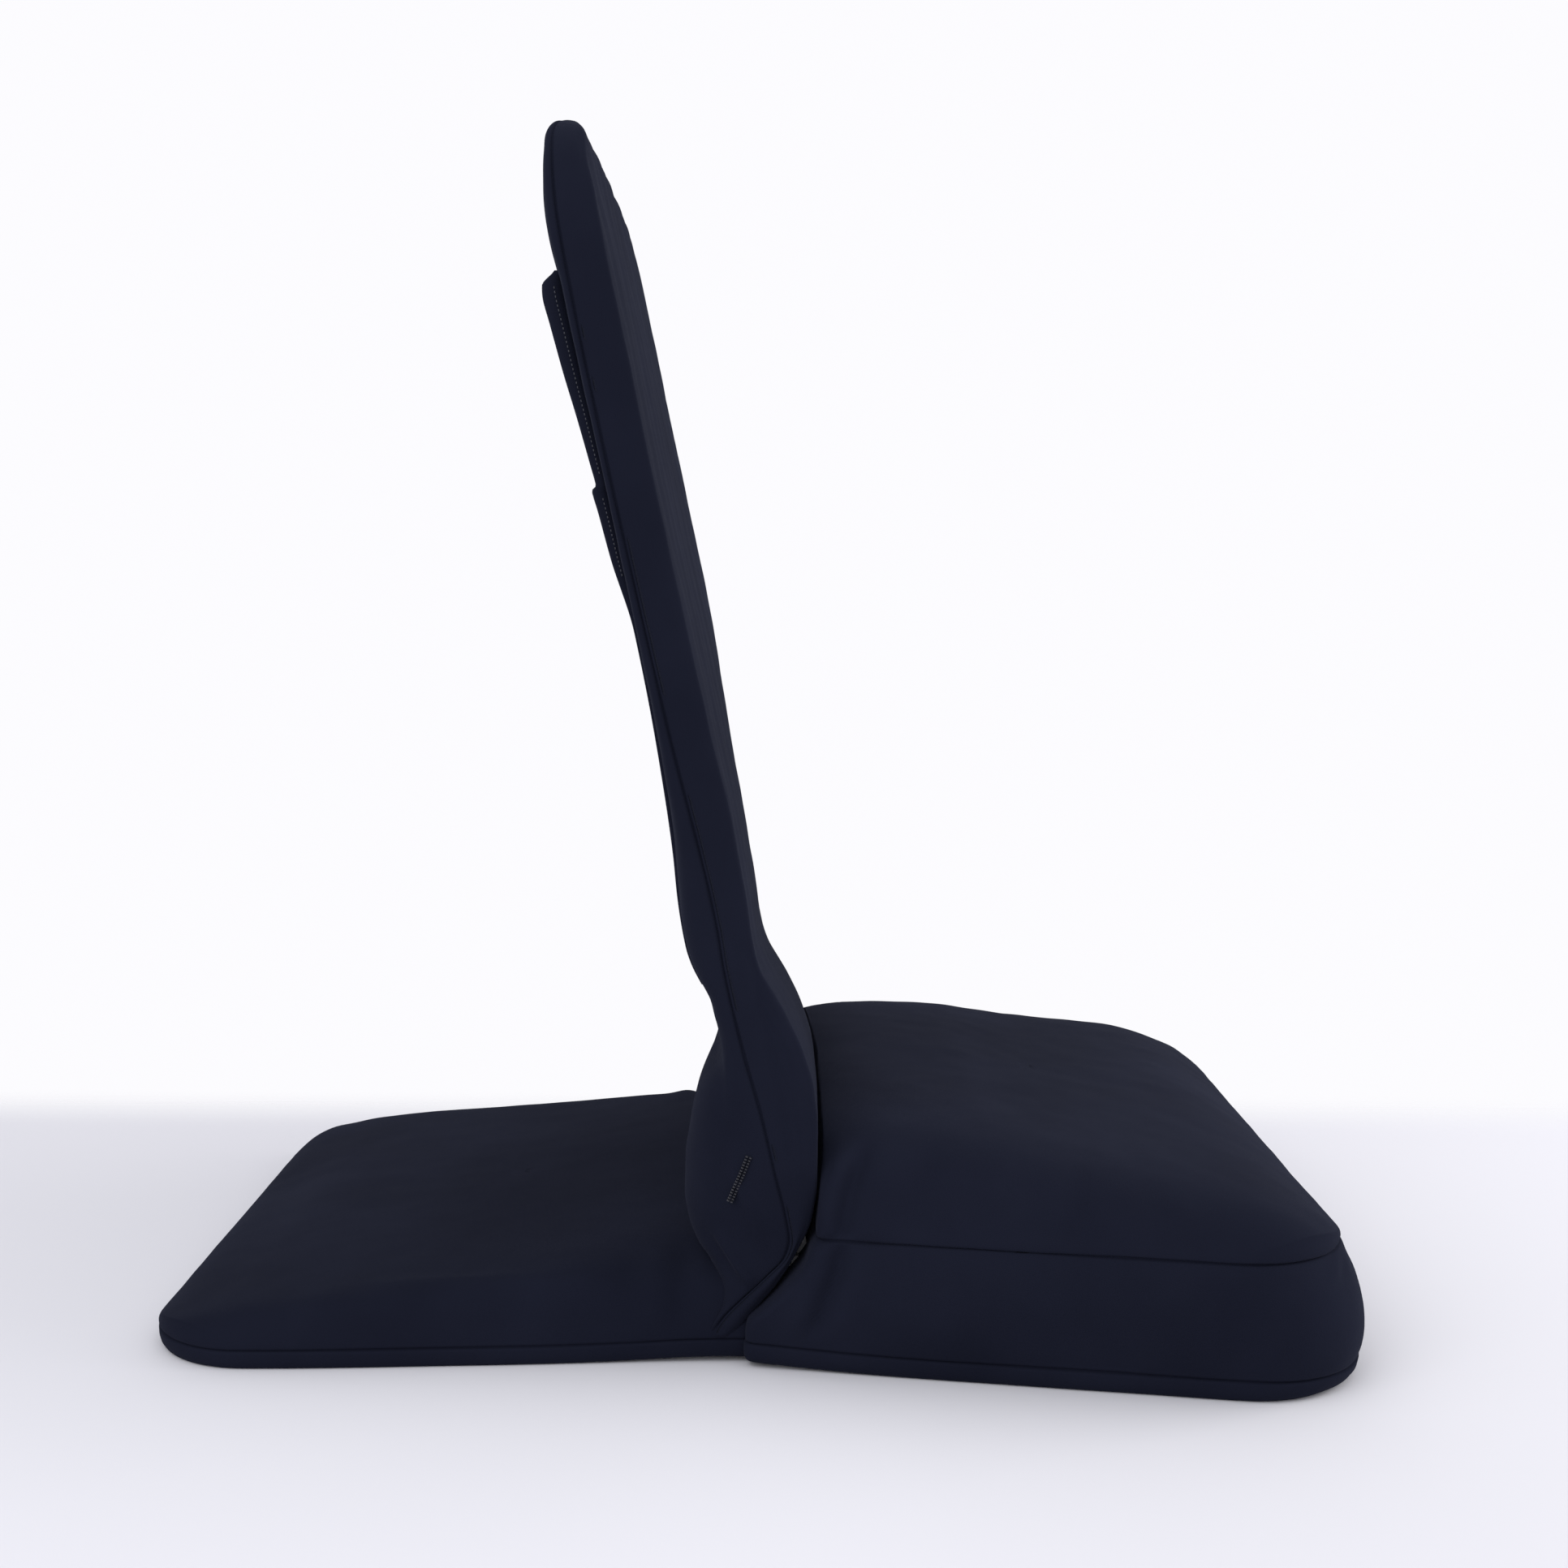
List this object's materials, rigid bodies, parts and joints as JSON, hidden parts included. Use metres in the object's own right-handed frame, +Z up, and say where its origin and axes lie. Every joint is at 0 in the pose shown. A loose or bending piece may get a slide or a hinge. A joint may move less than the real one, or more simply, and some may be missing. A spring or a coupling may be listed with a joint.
{
  "type": "folding floor chair",
  "caption": "Legless floor chair: a thick seat cushion and a thin rear leaf lie on the floor, and a tall padded back hinged between them reclines or folds forward over the seat.",
  "frame": {"origin": "on the floor under the middle of the hinge line between the seat and the rear leaf", "axes": "+X forwards, out of the seat's front; +Y to the sitter's left; +Z up"},
  "size_m": [0.763, 0.5472, 0.7739],
  "materials": {
    "cover_cotton": "matte black-navy woven cotton",
    "underside_cloth": "matte black cloth",
    "foam": "open-cell cushion foam",
    "frame_steel": "black powder coat",
    "hinge_steel": "grey zinc paint",
    "fastener_steel": "zinc plated",
    "washer_nylon": "natural nylon",
    "zipper_cloth": "black woven tape",
    "zipper_teeth": "black nylon coil",
    "zipper_metal": "black enamel"
  },
  "bodies": {
    "base": {"base_frame_rear": "frame_steel", "base_frame_front": "frame_steel", "rear_cross_tube": "frame_steel", "seat_cross_tube": "frame_steel", "rear_infill_pad": "foam", "seat_infill_pad": "foam", "rear_foam": "foam", "rear_top_panel": "cover_cotton", "underside_cover": "underside_cloth", "seat_foam": "foam", "seat_wedge_foam": "foam", "seat_top_panel": "cover_cotton", "seat_side_gusset": "cover_cotton", "seat_wedge_cover": "cover_cotton", "rear_crease_cloth": "cover_cotton", "front_crease_cloth": "cover_cotton", "hinge_bracket_left": "hinge_steel", "hinge_bracket_right": "hinge_steel", "hinge_bolts": "fastener_steel", "hinge_lock_nuts": "fastener_steel", "hinge_washers": "washer_nylon"},
    "back": {"hinge_arm_left": "hinge_steel", "hinge_arm_right": "hinge_steel", "back_frame": "frame_steel", "lower_back_cross_tube": "frame_steel", "upper_back_cross_tube": "frame_steel", "back_front_foam": "foam", "back_rear_foam": "foam", "back_front_panel": "cover_cotton", "back_side_gusset": "cover_cotton", "back_rear_panel": "cover_cotton", "zipper_tape": "zipper_cloth", "zipper_chain": "zipper_teeth"},
    "slider": {"zipper_slider": "zipper_metal"},
    "pull": {"zipper_pull": "zipper_metal"}
  },
  "joints": [
    {"name": "back_fold", "type": "hinge", "parent": "base", "child": "back", "pos_m": [0, 0, 0.05], "axis": [0, 1, 0], "range_deg": [-68, 50], "deforming": ["seat_wedge_foam", "seat_wedge_cover", "rear_crease_cloth", "front_crease_cloth"]},
    {"name": "zipper_slide", "type": "slide", "parent": "back", "child": "slider", "axis": [0.2062, 0, -0.9785], "range_m": [0, 0.546]},
    {"name": "pull_swing", "type": "hinge", "parent": "slider", "child": "pull", "pos_m": [-0.14701, -0.175, 0.64783], "axis": [0, 1, 0], "range_deg": [-11, 168]}
  ]
}
